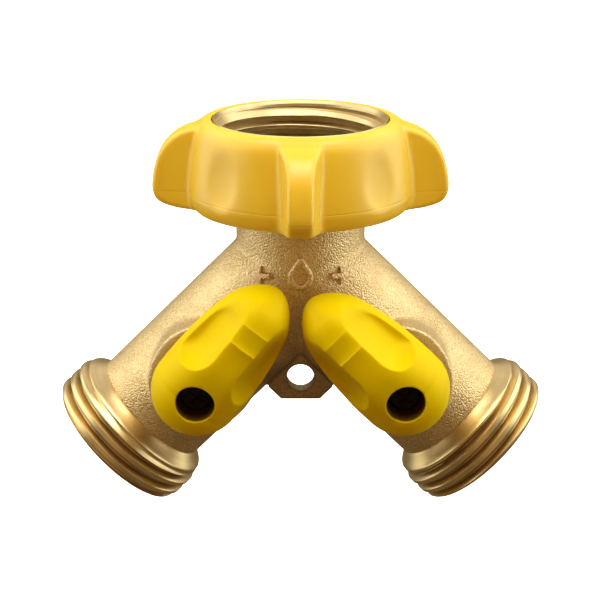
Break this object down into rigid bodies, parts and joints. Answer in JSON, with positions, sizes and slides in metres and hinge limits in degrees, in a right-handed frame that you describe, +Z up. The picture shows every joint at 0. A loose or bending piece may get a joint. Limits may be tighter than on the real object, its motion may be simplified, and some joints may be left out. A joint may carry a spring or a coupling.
{
  "type": "garden hose splitter",
  "caption": "Brass Y-shaped hose splitter with a finned swivel inlet and a ball valve with a lever handle in each outlet leg.",
  "frame": {"origin": "centre of the upper face of the inlet hose washer, on the inlet axis, where the tap's end face seats", "axes": "+Z up along the inlet axis towards the tap, +X along the line of the two outlets, handles on the -Y side"},
  "size_m": [0.0808, 0.0484, 0.0654],
  "materials": {
    "brass_cast": "shot-blasted casting",
    "brass_turned": "bright turned",
    "grip_plastic": "glossy moulded, golden yellow",
    "handle_plastic": "satin moulded, lemon yellow",
    "rubber": "black nitrile",
    "seat_plastic": "white PTFE",
    "steel_bright": "drawn spring wire",
    "steel_dark": "black oxide",
    "chrome_ball": "polished chrome plate"
  },
  "bodies": {
    "body": {"y_body": "brass_cast", "retaining_ring": "steel_bright", "left_inner_seat": "seat_plastic", "left_outer_seat": "seat_plastic", "left_seat_retainer": "brass_turned", "right_inner_seat": "seat_plastic", "right_outer_seat": "seat_plastic", "right_seat_retainer": "brass_turned"},
    "swivel": {"swivel_nut": "brass_turned", "swivel_grip": "grip_plastic", "hose_washer": "rubber"},
    "left_valve": {"left_handle": "handle_plastic", "left_handle_screw": "steel_dark", "left_stem": "brass_turned", "left_stem_thrust_washer": "seat_plastic", "left_stem_o_ring_lower": "rubber", "left_stem_o_ring_upper": "rubber", "left_ball": "chrome_ball"},
    "right_valve": {"right_handle": "handle_plastic", "right_handle_screw": "steel_dark", "right_stem": "brass_turned", "right_stem_thrust_washer": "seat_plastic", "right_stem_o_ring_lower": "rubber", "right_stem_o_ring_upper": "rubber", "right_ball": "chrome_ball"}
  },
  "joints": [
    {"name": "swivel_spin", "type": "hinge", "parent": "body", "child": "swivel", "pos_m": [0, 0, 0], "axis": [0, 0, 1], "continuous": true},
    {"name": "left_valve_turn", "type": "hinge", "parent": "body", "child": "left_valve", "pos_m": [-0.01662, 0, -0.03452], "axis": [0, -1, 0], "range_deg": [-7.3, 82.7]},
    {"name": "right_valve_turn", "type": "hinge", "parent": "body", "child": "right_valve", "pos_m": [0.01662, 0, -0.03452], "axis": [0, 1, 0], "range_deg": [0, 90]}
  ]
}
